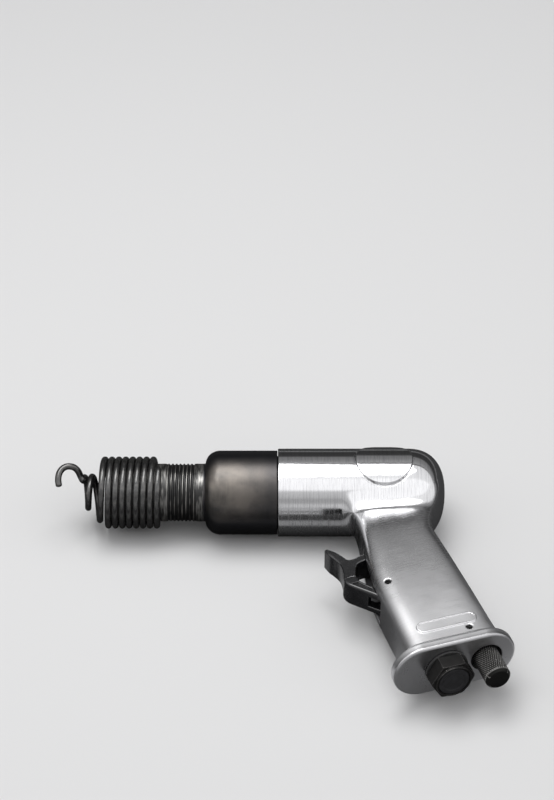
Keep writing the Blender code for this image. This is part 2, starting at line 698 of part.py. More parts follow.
def stand_on_floor():
    """Move the tool so that its box is centred on the origin and rests on Z = 0."""
    bpy.context.view_layer.update()
    graph = bpy.context.evaluated_depsgraph_get()
    low = Vector((1e9, 1e9, 1e9))
    high = -low
    for piece in parts.objects:
        evaluated = piece.evaluated_get(graph)
        mesh = evaluated.to_mesh()
        for vertex in mesh.vertices:
            place = evaluated.matrix_world @ vertex.co
            low = Vector(map(min, low, place))
            high = Vector(map(max, high, place))
        evaluated.to_mesh_clear()
    root.location = (-(low.x + high.x) / 2, -(low.y + high.y) / 2, -low.z)
    bpy.context.view_layer.update()


housing()
barrel()
o_ring("barrel_seal_ring", 17.8, 0.75, 8.3, barrel_axis)
piston()
valve_set()
retainer_spring()
trigger()
throttle_set()
pins()
inlet_set()
regulator_set()
for part in parts.objects:
    if part.type == "MESH":
        part.data.shade_smooth()
        part.data.set_sharp_from_angle(angle=math.radians(35))
stand_on_floor()
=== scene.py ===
"""Looks of the pneumatic air hammer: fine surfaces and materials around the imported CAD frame.

Lengths are in millimetres in the tool's own frame: X runs rearwards along the barrel axis from
the housing's front face, the grip points towards -Y and Z is up. In the grip, h runs down its
axis and s rearwards across it.
"""
import json
import math

import bmesh
import bpy
import numpy as np
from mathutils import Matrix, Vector


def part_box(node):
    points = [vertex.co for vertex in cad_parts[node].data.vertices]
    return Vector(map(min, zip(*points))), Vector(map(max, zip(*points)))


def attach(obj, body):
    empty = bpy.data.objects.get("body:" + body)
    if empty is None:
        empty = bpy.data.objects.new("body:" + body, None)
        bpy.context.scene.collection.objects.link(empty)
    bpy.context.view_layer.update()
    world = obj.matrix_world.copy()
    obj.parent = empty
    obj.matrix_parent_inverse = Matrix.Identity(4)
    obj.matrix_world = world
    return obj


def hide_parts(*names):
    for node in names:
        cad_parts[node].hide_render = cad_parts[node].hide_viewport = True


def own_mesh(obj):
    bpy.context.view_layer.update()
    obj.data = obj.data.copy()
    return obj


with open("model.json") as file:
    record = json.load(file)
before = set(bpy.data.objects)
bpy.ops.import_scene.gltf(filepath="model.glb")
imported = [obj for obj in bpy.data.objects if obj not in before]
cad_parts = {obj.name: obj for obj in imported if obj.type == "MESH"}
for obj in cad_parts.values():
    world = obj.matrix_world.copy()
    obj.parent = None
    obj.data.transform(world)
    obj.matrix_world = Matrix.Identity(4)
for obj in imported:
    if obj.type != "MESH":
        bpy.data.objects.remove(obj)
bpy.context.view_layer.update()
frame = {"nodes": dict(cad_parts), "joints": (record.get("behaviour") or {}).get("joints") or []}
joints = {joint["name"]: joint for joint in frame["joints"]}

# ---- places, from the frame

MM = 0.001


def box_mm(cad_node):
    """A CAD node's low and high corner, in millimetres in the shared frame."""
    low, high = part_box(cad_node)
    return np.array(low) / MM, np.array(high) / MM


BARREL_LOW, BARREL_HIGH = box_mm("barrel")
TOOL = np.array([box_mm("housing")[0][0], *(BARREL_LOW + BARREL_HIGH)[1:] / 2])
DOWN = np.array(joints["regulator_turn"]["axis"])
BACK = np.array(joints["throttle_slide"]["axis"])
UP = np.array((0.0, 0.0, 1.0))

PIVOT_S = -16.0
PIVOT_H = 81.0
PIVOT = np.array(joints["trigger_hinge"]["pos_m"]) / MM - TOOL
GRIP_ORIGIN = PIVOT - BACK * PIVOT_S - DOWN * PIVOT_H


def grip_coordinates(x, y):
    """(s, h) of a place in the tool frame."""
    dx = x - GRIP_ORIGIN[0]
    dy = y - GRIP_ORIGIN[1]
    return dx * BACK[0] + dy * BACK[1], dx * DOWN[0] + dy * DOWN[1]


def grip_point(s, h, z=0.0):
    """Tool coordinates of a place in the grip."""
    return GRIP_ORIGIN + BACK * s + DOWN * h + UP * z


REGULATOR = np.array(joints["regulator_turn"]["pos_m"]) / MM - TOOL
REGULATOR_S = float(grip_coordinates(*REGULATOR[:2])[0])

# Housing.
HOUSING_R = 22.5
HOUSING_REAR = 85.3
DOME_START = 66.0
DOME_POWER = 2.4
CAVITY_R = 18.8
CAVITY_END = 56.5
SADDLE_R = 6.0
BADGE_X = 53.8
BADGE_HALF_LENGTH = 14.4
BADGE_HALF_WIDTH = 14.3
BADGE_PROUD = 0.8
BADGE_LOWEST = 12.0
GRIP_TOP = 6.0
GRIP_POWER = 6.0
GRIP_FRONT = [(14, -12.0), (31, -13.2), (50, -17.0), (62, -19.6), (73, -21.2), (84, -21.9),
              (100, -22.2), (118, -22.3), (128, -23.2)]
GRIP_REAR = [(12, 34.0), (24, 31.5), (34, 26.0), (41, 21.6), (47, 20.2), (55, 20.4),
             (70, 21.2), (96, 22.2), (122, 23.0), (128, 24.0)]
GRIP_HALF_WIDTH = [(14, 9.5), (24, 10.0), (33, 12.0), (42, 13.7), (55, 14.2), (75, 14.2),
                   (100, 13.8), (118, 13.2), (128, 13.0)]
PANEL_S = 0.5
PANEL_H = 116.0
PANEL_HALF_LENGTH = 15.0
PANEL_HALF_WIDTH = 3.5
PANEL_PROUD = 0.6
FLANGE_TOP = 126.0
FLANGE_FACE = 131.5
FLANGE_MIDDLE_S = -0.5
FLANGE_HALF_LENGTH = 30.5
FLANGE_HALF_WIDTH = 14.6

# Trigger slot, pins, throttle bore and its spring.
SLOT_LOW = (-36.0, 48.6)
SLOT_HIGH = (-9.5, 87.0)
SLOT_HALF_WIDTH = 6.8
PIN_HOLE_R = 1.55
PIN_R = 1.25
PIN_HALF_LENGTH = 12.0
PINS = {"trigger_pin": (PIVOT_S, PIVOT_H), "regulator_pin": (9.8, 121.7)}
THROTTLE_H = 53.0
THROTTLE_MOUTH_S = -13.0
THROTTLE_BORE_R = 5.0
THROTTLE_BORE_END = 17.2
BUSHING_SEAT_R = 6.5
BUSHING_SEAT_END = 4.5
THROTTLE_SPRING_R = 3.3
THROTTLE_SPRING_START = 8.2
THROTTLE_SPRING_LENGTH = 8.0
THROTTLE_SPRING_TURNS = 5
THROTTLE_WIRE_R = 0.4

# Inlet and regulator.
INLET_S = -5.0
OPENING_R = 7.7
HEX_FLAT = 19.05
HEX_START = 133.3
HEX_END = 140.8
CHAMFER_R = 10.4
CHAMFER_SLOPE = 1.15
COLLAR_R = 8.9
COLLAR_END = 141.9
MOUTH_R = 7.9
MOUTH_DEPTH = 2.4
INLET_BORE_R = 6.1
INLET_BORE_FLOOR = 119.0
INLET_THREAD_PITCH = 1.5
INLET_THREAD_DEPTH = 0.19
INLET_TUBE_R = 8.1
INLET_TUBE_END = 113.0
INLET_PORT_R = 4.3
SOCKET_R = 8.5
SOCKET_FLOOR = 112.6
FEED_R = 4.5
FEED_END = 100.0
PLUG_HEAD_R = 7.6
PLUG_DISH = 0.35
PLUG_R = 5.5
PLUG_INSIDE_R = 4.6
PLUG_END = 129.0
KNOB_R = 6.3
KNOB_START = 127.6
KNOB_END = 146.8
KNURL_TEETH = 38
KNURL_PITCH = 1.9
KNURL_DEPTH = 0.5
SPINDLE_R = 5.2
SPINDLE_END = 98.5
SPINDLE_PROFILE = [(SPINDLE_R, 123.3), (4.0, 123.3), (4.0, 120.1), (SPINDLE_R, 120.1),
                   (SPINDLE_R, 115.2), (4.1, 115.2), (4.1, 113.0), (SPINDLE_R, 113.0),
                   (SPINDLE_R, SPINDLE_END), (3.0, SPINDLE_END), (3.0, 108.0), (0.0, 108.0)]
REGULATOR_BORE_R = 5.5
REGULATOR_BORE_END = 98.0

# Air passages in the grip: start and end as (s, h), and radius.
PASSAGES = [((0.0, 48.0), (7.0, 15.0), 2.6),
            ((REGULATOR_S, 99.4), (11.0, 54.5), 3.2),
            ((INLET_S, 104.0), (REGULATOR_S, 104.0), 3.0)]

# Barrel.
BARREL_R = 21.5
NECK_R = 14.8
NECK_START = -37.0
SHOULDER_END = -29.5
NOSE_FACE = -85.0
SPIGOT_R = 18.5
SPIGOT_END = 38.0
BORE_R = 9.5
BORE_FRONT = -42.0
SHANK_R = 5.1
THREAD_PITCH = 1.95
THREAD_DEPTH = 0.62
THREAD_START = -41.5
THREAD_END = -57.2

# Clearance between pieces, and the small flat where a turned piece closes on its axis.
GAP = 0.3
POLE_R = 0.4

# Retainer spring.
WIRE_R = 1.65
COIL_R = 16.85
COIL_PITCH = 3.54
COIL_TURNS = 8
COIL_REAR = -60.7
GATE_R = 7.8
GATE_LEAD = 5.5
GATE_DRIFT = 1.2
GATE_PITCH = 3.9
# Thumb hook: points as (x from the gate coil's end, y, z).
HOOK = [(-1.2, 1.4, 9.6), (-2.4, 2.0, 12.6), (-4.4, 2.2, 14.9), (-7.4, 1.9, 15.8),
        (-10.0, 0.6, 15.4), (-11.6, -1.8, 14.2), (-12.05, -4.6, 12.2), (-11.5, -7.2, 9.9)]

# Trigger, with its side view as (s, h) points.
TRIGGER_HALF_WIDTH = 6.4
LIP_HALF_WIDTH = 6.2
LOBE_MIDDLE = (-29.0, 71.5)
LOBE_R = 7.0
EYE_R = 4.0
FINGER_SIDE = [(-34.9, 42.3), (-34.0, 46.5), (-32.3, 50.6), (-31.0, 55.2), (-31.5, 60.5),
               (-32.9, 65.5), (-32.0, 69.6), (-29.0, 73.2), (-24.1, 78.5), (-21.4, 81.4)]
INNER_SIDE = [(-20.2, 76.2), (-23.2, 72.6), (-26.1, 68.2), (-26.4, 65.2), (-25.2, 61.4),
              (-23.8, 58.4), (-21.4, 56.2), (-14.5, 55.5)]
LIP_BACK = [(-14.5, 50.3), (-19.0, 51.2), (-23.0, 52.4), (-26.2, 52.2), (-28.0, 49.0),
            (-30.0, 45.4), (-33.6, 41.6)]


# ---- mesh helpers

def add_piece(name, points, faces, body, material, replaced, normals=None):
    """New smooth mesh piece from tool coordinates; rides on a body and stands for a CAD node."""
    mesh = bpy.data.meshes.new(name)
    mesh.from_pydata((np.asarray(points) + TOOL) * MM, [], faces)
    mesh.validate()
    mesh.shade_smooth()
    if normals is not None:
        mesh.normals_split_custom_set_from_vertices(normals)
    mesh.materials.append(material)
    piece = bpy.data.objects.new(name, mesh)
    bpy.context.scene.collection.objects.link(piece)
    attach(piece, body)
    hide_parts(replaced)
    return piece


def away_from(axis):
    """A direction well away from an axis."""
    return UP if abs(axis[2]) < 0.9 else BACK


def join(a, b, radius):
    """Union of two distance fields with a fillet."""
    return (np.maximum(radius, np.minimum(a, b))
            - np.hypot(np.maximum(radius - a, 0), np.maximum(radius - b, 0)))


def meet(a, b, radius):
    """Intersection of two distance fields with a rounded edge."""
    return (np.minimum(-radius, np.maximum(a, b))
            + np.hypot(np.maximum(radius + a, 0), np.maximum(radius + b, 0)))


def cut(a, b, radius):
    """Field a without field b, with a rounded edge."""
    return meet(a, -b, radius)


def bulge(u, v, half_u, half_v, power):
    """Distance to a superellipse, close to exact near its outline."""
    a = np.abs(u) / half_u + 1e-4
    b = np.abs(v) / half_v
    reach = (a ** power + b ** power) ** (1 / power)
    slope = np.hypot((a / reach) ** (power - 1) / half_u, (b / reach) ** (power - 1) / half_v)
    return (reach - 1) / slope


def slab(value, low, high):
    """Distance to the layer between two planes."""
    return np.maximum(low - value, value - high)


def stadium(u, v, half_length, radius):
    """Distance to a straight bar outline with round ends."""
    return np.hypot(np.maximum(np.abs(u) - half_length + radius, 0), v) - radius


def smooth_curve(stations, spread=3.0):
    """Function through (h, value) stations, rounded over a few millimetres."""
    fine = np.arange(-20.0, 160.0, 0.25)
    values = np.interp(fine, *zip(*stations))
    reach = np.arange(-3 * spread, 3 * spread + 0.01, 0.25)
    weights = np.exp(-0.5 * (reach / spread) ** 2)
    weights /= weights.sum()
    values = np.convolve(np.pad(values, len(reach) // 2, "edge"), weights, "valid")
    return lambda h: np.interp(h, fine, values)


def slope_of(field, points):
    """Gradient of a field at points."""
    reach = 0.01
    sides = []
    for axis in range(3):
        offset = np.zeros(3)
        offset[axis] = reach
        sides.append(field(*(points + offset).T) - field(*(points - offset).T))
    return np.stack(sides, 1) / (2 * reach)


def settle(field, points, limit):
    """Move points onto the zero surface of a field."""
    for _ in range(4):
        slope = slope_of(field, points)
        value = field(*points.T) / np.maximum((slope ** 2).sum(1), 0.2)
        points = points - slope * np.clip(value, -limit, limit)[:, None]
    return points


def surface_net(field, low, high, step):
    """Quad mesh of a field's zero surface, with a vertex in each cell that it crosses."""
    axes = [np.arange(a, b + step, step, dtype=np.float32) for a, b in zip(low, high)]
    values = field(*np.meshgrid(*axes, indexing="ij", sparse=True))
    cells = np.array(values.shape)
    strides = np.array((cells[1] * cells[2], cells[2], 1))
    owners = []
    crossings = []
    quads = []
    for axis in range(3):
        a = values.take(np.arange(cells[axis] - 1), axis)
        b = values.take(np.arange(1, cells[axis]), axis)
        index = np.argwhere((a < 0) != (b < 0))
        a = a[tuple(index.T)]
        b = b[tuple(index.T)]
        place = index.astype(float)
        place[:, axis] += a / (a - b)
        u, v = (axis + 1) % 3, (axis + 2) % 3
        corners = []
        for du, dv in ((0, 0), (-1, 0), (-1, -1), (0, -1)):
            cell = index.copy()
            cell[:, u] += du
            cell[:, v] += dv
            corners.append(cell @ strides)
            owners.append(corners[-1])
            crossings.append(place)
        around = np.stack(corners, 1)
        quads.append(np.where((a < 0)[:, None], around, around[:, ::-1]))
    used, owner = np.unique(np.concatenate(owners), return_inverse=True)
    crossings = np.concatenate(crossings)
    share = np.bincount(owner)
    points = np.stack([np.bincount(owner, crossings[:, axis]) for axis in range(3)], 1)
    points = points / share[:, None] * step + np.array(low)
    return points, np.searchsorted(used, np.concatenate(quads))


def refine(field, points, faces, bend, shortest):
    """Split the edges across which the surface turns sharply, and settle the new points."""
    slope = slope_of(field, points)
    slope /= np.linalg.norm(slope, axis=1)[:, None]
    shape = bmesh.new()
    verts = [shape.verts.new(point) for point in points]
    for face in faces:
        shape.faces.new([verts[index] for index in face])
    shape.edges.ensure_lookup_table()
    shape.verts.index_update()
    ends = np.array([(edge.verts[0].index, edge.verts[1].index) for edge in shape.edges])
    turn = (slope[ends[:, 0]] * slope[ends[:, 1]]).sum(1)
    length = np.linalg.norm(points[ends[:, 0]] - points[ends[:, 1]], axis=1)
    picked = np.nonzero((turn < math.cos(math.radians(bend))) & (length > shortest))[0]
    bmesh.ops.subdivide_edges(shape, edges=[shape.edges[i] for i in picked], cuts=1,
                              use_grid_fill=True)
    bmesh.ops.triangulate(shape, faces=[face for face in shape.faces if len(face.verts) > 4])
    shape.verts.index_update()
    new_points = np.array([vert.co for vert in shape.verts], float)
    new_faces = [[vert.index for vert in face.verts] for face in shape.faces]
    shape.free()
    return settle(field, new_points, shortest), new_faces


def sculpt(name, field, step, body, material, replaced, refined=True):
    """Piece whose surface is a field's zero surface, in the box of the CAD node it stands for."""
    low, high = box_mm(replaced)
    points, faces = surface_net(field, low - TOOL - 2.2 * step, high - TOOL + 2.2 * step, step)
    points = settle(field, points, step)
    faces = faces.tolist()
    if refined:
        points, faces = refine(field, points, faces, 14, step * 0.45)
    normals = slope_of(field, points)
    normals /= np.linalg.norm(normals, axis=1)[:, None]
    return add_piece(name, points, faces, body, material, replaced, normals)


def soften(profile, radius):
    """Profile with its corners rounded and a short straight lead into each rounding."""
    points = np.asarray(profile, float)
    result = [points[0]]
    for before, corner, after in zip(points, points[1:], points[2:]):
        before = before - corner
        after = after - corner
        reach = min(radius, 0.4 * np.linalg.norm(before), 0.4 * np.linalg.norm(after))
        start = corner + before / np.linalg.norm(before) * reach
        end = corner + after / np.linalg.norm(after) * reach
        result.append(start + (start - corner) * 0.2)
        for t in np.linspace(0, 1, 5):
            result.append(start * (1 - t) ** 2 + corner * 2 * t * (1 - t) + end * t ** 2)
        result.append(end + (end - corner) * 0.2)
    return np.array([*result, points[-1]])


def lathe(name, profile, origin, axis, body, material, replaced, columns, shape=None,
          closed=True):
    """Turned piece from a (radius, distance along axis) profile; shape(r, a, turn) adds relief."""
    profile = np.asarray(profile)
    axis = np.asarray(axis, float)
    side = np.cross(axis, away_from(axis))
    side /= np.linalg.norm(side)
    other = np.cross(axis, side)
    turn = np.arange(columns) / columns
    r = np.repeat(profile[:, :1], columns, 1)
    a = np.repeat(profile[:, 1:2], columns, 1)
    if shape is not None:
        r = shape(r, a, turn[None, :])
    angle = math.tau * turn
    ring = np.cos(angle)[:, None] * side + np.sin(angle)[:, None] * other
    points = (np.asarray(origin) + a[..., None] * axis + r[..., None] * ring).reshape(-1, 3)
    rows = len(profile)
    upper = np.arange(rows if closed else rows - 1)
    lower = (upper + 1) % rows
    column = np.arange(columns)
    after = (column + 1) % columns
    quads = np.stack([upper[:, None] * columns + column, lower[:, None] * columns + column,
                      lower[:, None] * columns + after, upper[:, None] * columns + after], -1)
    faces = quads.reshape(-1, 4).tolist()
    if not closed:
        points, faces = close_ends(points, faces, rows, columns)
    return add_piece(name, points, faces, body, material, replaced)


def close_ends(points, faces, rows, columns):
    """Fan the first and last ring of a turned piece to points on its axis."""
    first = points[:columns].mean(0)
    last = points[-columns:].mean(0)
    count = rows * columns
    points = np.concatenate([points, [first, last]])
    for column in range(columns):
        after = (column + 1) % columns
        faces.append([count, column, after])
        faces.append([count + 1, count - columns + after, count - columns + column])
    return points, faces


def through(points, steps):
    """Smooth curve through points."""
    points = np.asarray(points, float)
    ends = np.concatenate([[2 * points[0] - points[1]], points, [2 * points[-1] - points[-2]]])
    curve = []
    for a, b, c, d in zip(ends, ends[1:], ends[2:], ends[3:]):
        for t in np.arange(steps) / steps:
            curve.append(0.5 * (2 * b + (c - a) * t + (2 * a - 5 * b + 4 * c - d) * t ** 2
                                + (3 * b - a - 3 * c + d) * t ** 3))
    curve.append(points[-1])
    return np.array(curve)


def wire(name, path, radius, body, material, replaced, sides=20):
    """Round wire along a path, with rounded ends."""
    path = np.asarray(path, float)
    tangent = np.gradient(path, axis=0)
    tangent /= np.linalg.norm(tangent, axis=1)[:, None]
    side = np.cross(tangent[0], away_from(tangent[0]))
    rings = []
    angle = math.tau * np.arange(sides) / sides
    length = np.concatenate([[0], np.cumsum(np.linalg.norm(np.diff(path, axis=0), axis=1))])
    end = np.minimum(length, length[-1] - length) / radius
    taper = np.sqrt(np.clip(1 - (1 - np.clip(end / 0.5, 0, 1)) ** 2 * 0.75, 0.05, 1))
    for place, along, size in zip(path, tangent, taper):
        side = side - along * side.dot(along)
        side /= np.linalg.norm(side)
        other = np.cross(along, side)
        rings.append(place + radius * size * (np.cos(angle)[:, None] * side
                                              + np.sin(angle)[:, None] * other))
    points = np.concatenate(rings)
    rows = len(path)
    column = np.arange(sides)
    after = (column + 1) % sides
    upper = np.arange(rows - 1)[:, None] * sides
    quads = np.stack([upper + column, upper + after, upper + sides + after,
                      upper + sides + column], -1)
    faces = quads.reshape(-1, 4).tolist()
    faces.append(list(range(sides - 1, -1, -1)))
    faces.append(list(range((rows - 1) * sides, rows * sides)))
    return add_piece(name, points, faces, body, material, replaced)


# ---- material helpers

def node(tree, kind, inputs=None, **settings):
    """Add a shader node, set it up, connect its inputs, and give its outputs."""
    made = tree.nodes.new(kind)
    for key, value in settings.items():
        setattr(made, key, value)
    for key, value in (inputs or {}).items():
        if isinstance(value, bpy.types.NodeSocket):
            tree.links.new(value, made.inputs[key])
        else:
            made.inputs[key].default_value = value
    return made.outputs


def vectors(tree, operation, a, b):
    """Vector operation on two places or directions."""
    made = node(tree, "ShaderNodeVectorMath", {0: a, 1: b}, operation=operation)
    return made["Value"] if operation in ("DOT_PRODUCT", "DISTANCE") else made[0]


def start_material(name):
    """Empty node material with its place in millimetres in the tool frame."""
    material = bpy.data.materials.new(name)
    material.use_nodes = True
    tree = material.node_tree
    tree.nodes.clear()
    place = node(tree, "ShaderNodeTexCoord")["Object"]
    place = vectors(tree, "SUBTRACT", place, TOOL * MM)
    place = node(tree, "ShaderNodeVectorMath", {0: place, "Scale": 1 / MM},
                 operation="SCALE")[0]
    return material, tree, place


def finish_material(material, colour, rough, metallic, more):
    """Give a material its principled shader and output."""
    tree = material.node_tree
    shader = node(tree, "ShaderNodeBsdfPrincipled",
                  {"Base Color": colour, "Roughness": rough, "Metallic": metallic, **more})
    node(tree, "ShaderNodeOutputMaterial", {"Surface": shader[0]})
    return material


def distance_along(tree, place, origin, axis):
    """Distance along an axis, and the offset from its origin."""
    offset = vectors(tree, "SUBTRACT", place, origin)
    return vectors(tree, "DOT_PRODUCT", offset, axis), offset


def stretched(tree, place, axes, scales):
    """Place measured along three axes, each with its own scale."""
    parts = [vectors(tree, "DOT_PRODUCT", place, np.asarray(axis) * scale)
             for axis, scale in zip(axes, scales)]
    return node(tree, "ShaderNodeCombineXYZ", dict(enumerate(parts)))[0]


def noise(tree, vector, scale=1.0, detail=3.0, rough=0.5, distort=0.0):
    """Noise value between 0 and 1."""
    return node(tree, "ShaderNodeTexNoise",
                {"Vector": vector, "Scale": scale, "Detail": detail, "Roughness": rough,
                 "Distortion": distort})["Fac"]


def span(tree, value, low, high, to_low=0.0, to_high=1.0):
    """Map a value's range to another, clamped."""
    return node(tree, "ShaderNodeMapRange",
                {"Value": value, "From Min": low, "From Max": high, "To Min": to_low,
                 "To Max": to_high})[0]


def maths(tree, operation, a, b=0.0):
    """Sum, product or other operation of one or two values."""
    return node(tree, "ShaderNodeMath", {0: a, 1: b}, operation=operation)[0]


def blend(tree, share, a, b):
    """Mix of two colours."""
    a, b = (colour if isinstance(colour, bpy.types.NodeSocket) else (*colour, 1.0)
            for colour in (a, b))
    return node(tree, "ShaderNodeMix", {0: share, 6: a, 7: b}, data_type="RGBA")[2]


def mix_value(tree, share, a, b):
    """Mix of two values."""
    return node(tree, "ShaderNodeMix", {0: share, 2: a, 3: b}, data_type="FLOAT")[0]


def bump(tree, height, distance, strength=1.0, normal=None):
    """Bump from a height, with its full depth in millimetres."""
    inputs = {"Height": height, "Distance": distance * MM, "Strength": strength}
    if normal is not None:
        inputs["Normal"] = normal
    return node(tree, "ShaderNodeBump", inputs)[0]


# ---- materials

def inside_openings(tree, place, grip_h):
    """Share that is 1 on the walls of the trigger slot and the regulator opening: unpolished, and
    darkened there as painted shade.
    """
    beyond, along = crest(tree, place, DOWN, grip_point(REGULATOR_S, 0), OPENING_R - 0.05,
                          OPENING_R + 0.2)
    near_face = span(tree, grip_h, FLANGE_FACE - 0.9, FLANGE_FACE - 0.3)
    near_axis = span(tree, along, FLANGE_TOP - 40, FLANGE_TOP - 38)
    opening = maths(tree, "SUBTRACT", 1.0, maths(tree, "MAXIMUM", beyond, near_face))
    opening = maths(tree, "MULTIPLY", opening, near_axis)
    parts = node(tree, "ShaderNodeSeparateXYZ", {0: place})
    outside = span(tree, maths(tree, "ABSOLUTE", parts["Z"]), SLOT_HALF_WIDTH + 0.1,
                   SLOT_HALF_WIDTH + 0.5)
    middle = (SLOT_LOW[1] + SLOT_HIGH[1]) / 2
    half = (SLOT_HIGH[1] - SLOT_LOW[1]) / 2
    off = maths(tree, "ABSOLUTE", maths(tree, "SUBTRACT", grip_h, middle))
    outside = maths(tree, "MAXIMUM", outside, span(tree, off, half + 0.1, half + 0.5))
    grip_s = distance_along(tree, place, GRIP_ORIGIN, BACK)[0]
    outside = maths(tree, "MAXIMUM", outside, span(tree, grip_s, -8.0, -6.0))
    slot = maths(tree, "SUBTRACT", 1.0, outside)
    return maths(tree, "MAXIMUM", opening, slot)


def polished_aluminium():
    """Polished casting: hand-worked, with fine lines round the body and across the grip."""
    material, tree, place = start_material("polished_aluminium_casting")
    grip_h = distance_along(tree, place, GRIP_ORIGIN, DOWN)[0]
    on_grip = span(tree, grip_h, 24.0, 40.0)
    round_body = stretched(tree, place, ((1, 0, 0), (0, 1, 0), UP), (1.7, 0.07, 0.07))
    across_grip = stretched(tree, place, (DOWN, BACK, UP), (2.4, 0.07, 0.07))
    body_lines = noise(tree, round_body, 1.0, 6.0, 0.8)
    grip_lines = noise(tree, across_grip, 1.0, 6.0, 0.8)
    lines = mix_value(tree, on_grip, body_lines, grip_lines)
    cloudy = noise(tree, place, 0.11, 3.0, 0.55)
    waves = noise(tree, place, 0.055, 1.0, 0.4)
    pits = noise(tree, place, 1.7, 2.0, 0.6)
    satin = mix_value(tree, on_grip, 0.085, span(tree, grip_h, 58.0, 112.0, 0.22, 0.33))
    on_flange = span(tree, grip_h, 128.5, 130.5)
    satin = mix_value(tree, on_flange, satin, 0.27)
    front_side = node(tree, "ShaderNodeSeparateXYZ", {0: place})["Y"]
    streaked = span(tree, front_side, -17.0, -22.0, 0.07, 0.24)
    streaked = mix_value(tree, on_grip, streaked, 0.07)
    rough = maths(tree, "ADD", satin, maths(tree, "MULTIPLY", streaked,
                                            span(tree, lines, 0.35, 0.65, -0.3, 1.0)))
    rough = maths(tree, "ADD", rough, span(tree, cloudy, 0.35, 0.7, -0.01, 0.03))
    colour = blend(tree, span(tree, cloudy, 0.35, 0.7), (0.92, 0.92, 0.93), (0.87, 0.87, 0.88))
    streaks = mix_value(tree, on_grip, 0.75, 0.35)
    streaks = maths(tree, "MULTIPLY", streaks, span(tree, lines, 0.46, 0.66))
    colour = blend(tree, streaks, colour, (0.60, 0.60, 0.62))
    colour = blend(tree, on_flange, colour, (0.60, 0.60, 0.61))
    # Painted shade: the slot and opening walls turn dark grey and rough, partly for their
    # unpolished as-cast finish and partly as shade in these recesses.
    cast_walls_painted_shade = inside_openings(tree, place, grip_h)
    colour = blend(tree, cast_walls_painted_shade, colour, (0.16, 0.16, 0.165))
    rough = mix_value(tree, cast_walls_painted_shade, rough, 0.6)
    depth = mix_value(tree, on_grip, 0.004, 0.008)
    normal = node(tree, "ShaderNodeBump", {"Height": lines, "Distance":
                  maths(tree, "MULTIPLY", depth, MM), "Strength": 0.8})[0]
    depth = mix_value(tree, on_grip, 0.05, 0.03)
    normal = node(tree, "ShaderNodeBump", {"Height": waves, "Normal": normal, "Distance":
                  maths(tree, "MULTIPLY", depth, MM)})[0]
    normal = bump(tree, span(tree, pits, 0.62, 0.72), 0.002, 0.5, normal)
    return finish_material(material, colour, rough, 1.0, {"Normal": normal})


def crest(tree, place, axis, origin, low, high):
    """Share that rises from 0 to 1 with the distance from an axis, and distance along it."""
    along, offset = distance_along(tree, place, origin, axis)
    on_axis = node(tree, "ShaderNodeVectorMath", {0: tuple(axis), "Scale": along},
                   operation="SCALE")[0]
    return span(tree, vectors(tree, "DISTANCE", offset, on_axis), low, high), along


def turning_lines(tree, place, axis, along, around, rough):
    """Noise drawn out into fine lines round an axis."""
    other = away_from(axis)
    return noise(tree, stretched(tree, place, (axis, other, np.cross(axis, other)),
                                 (along, around, around)), 1.0, 4.0, rough)


def black_steel(name, axis, origin, dark, warm, wear_from):
    """Black oxide on steel turned about an axis, warmer where rubbed, with light outer edges."""
    material, tree, place = start_material(name)
    outer = crest(tree, place, axis, origin, wear_from, wear_from + 0.3)[0]
    lines = turning_lines(tree, place, axis, 3.0, 0.10, 0.65)
    mottle = noise(tree, place, 0.09, 3.0, 0.5, 0.3)
    fine = noise(tree, place, 1.3, 3.0, 0.6)
    colour = blend(tree, span(tree, mottle, 0.25, 0.62), dark, warm)
    rubbed = tuple(1.2 * value for value in warm)
    colour = blend(tree, span(tree, lines, 0.5, 0.8, 0.0, 0.35), colour, rubbed)
    sharp = span(tree, node(tree, "ShaderNodeNewGeometry")["Pointiness"], 0.52, 0.60)
    wear = maths(tree, "MULTIPLY", sharp, span(tree, fine, 0.3, 0.6))
    wear = maths(tree, "MULTIPLY", wear, outer)
    colour = blend(tree, wear, colour, (0.42, 0.41, 0.40))
    rough = maths(tree, "ADD", span(tree, lines, 0.3, 0.75, 0.32, 0.42),
                  span(tree, mottle, 0.3, 0.7, -0.02, 0.05))
    normal = bump(tree, lines, 0.012, 0.7)
    normal = bump(tree, fine, 0.003, 0.5, normal)
    return material, place, colour, rough, normal


def barrel_steel():
    """Barrel: painted light as a lighter warm tone on its upper front side, fading to dark bluish
    towards the housing and underneath, with rubbed thread crests on the neck.
    """
    material, place, colour, rough, normal = black_steel(
        "barrel_black_oxide", (1, 0, 0), (0, 0, 0), (0.10, 0.095, 0.09), (0.25, 0.225, 0.20),
        NECK_R - 0.5)
    tree = material.node_tree
    high, along = crest(tree, place, (1, 0, 0), (0, 0, 0), NECK_R - 0.25, NECK_R - 0.02)
    # Painted light: the side facing up and forwards gets the lighter warm tone, fading towards the
    # housing; the rest is painted near-black as shade.
    facing = vectors(tree, "DOT_PRODUCT", place, (0, -0.71, 0.71))
    painted_light_side = maths(tree, "MULTIPLY", span(tree, facing, 13.0, 20.5),
                    span(tree, along, -3.0, -24.0, 0.25, 1.0))
    colour = blend(tree, painted_light_side, (0.05, 0.05, 0.055), colour)
    rubbed = noise(tree, stretched(tree, place, ((1, 0, 0), UP, (0, 1, 0)), (0.9, 0.12, 0.12)),
                   1.0, 2.0)
    on_neck = span(tree, along, NECK_START - 0.5, NECK_START - 1.5)
    share = maths(tree, "MULTIPLY", maths(tree, "MULTIPLY", high, on_neck),
                  span(tree, rubbed, 0.42, 0.66, 0.05, 0.9))
    colour = blend(tree, share, blend(tree, on_neck, colour, (0.05, 0.05, 0.05)),
                   (0.42, 0.41, 0.39))
    return finish_material(material, colour, rough, 0.95, {"Normal": normal})


def inlet_steel():
    """Inlet bushing: near-black flats with rubbed corners."""
    material, _, colour, rough, normal = black_steel(
        "inlet_black_oxide", DOWN, grip_point(INLET_S, 0), (0.012, 0.012, 0.012),
        (0.036, 0.035, 0.034), COLLAR_R - 0.6)
    return finish_material(material, colour, rough, 0.9, {"Normal": normal})


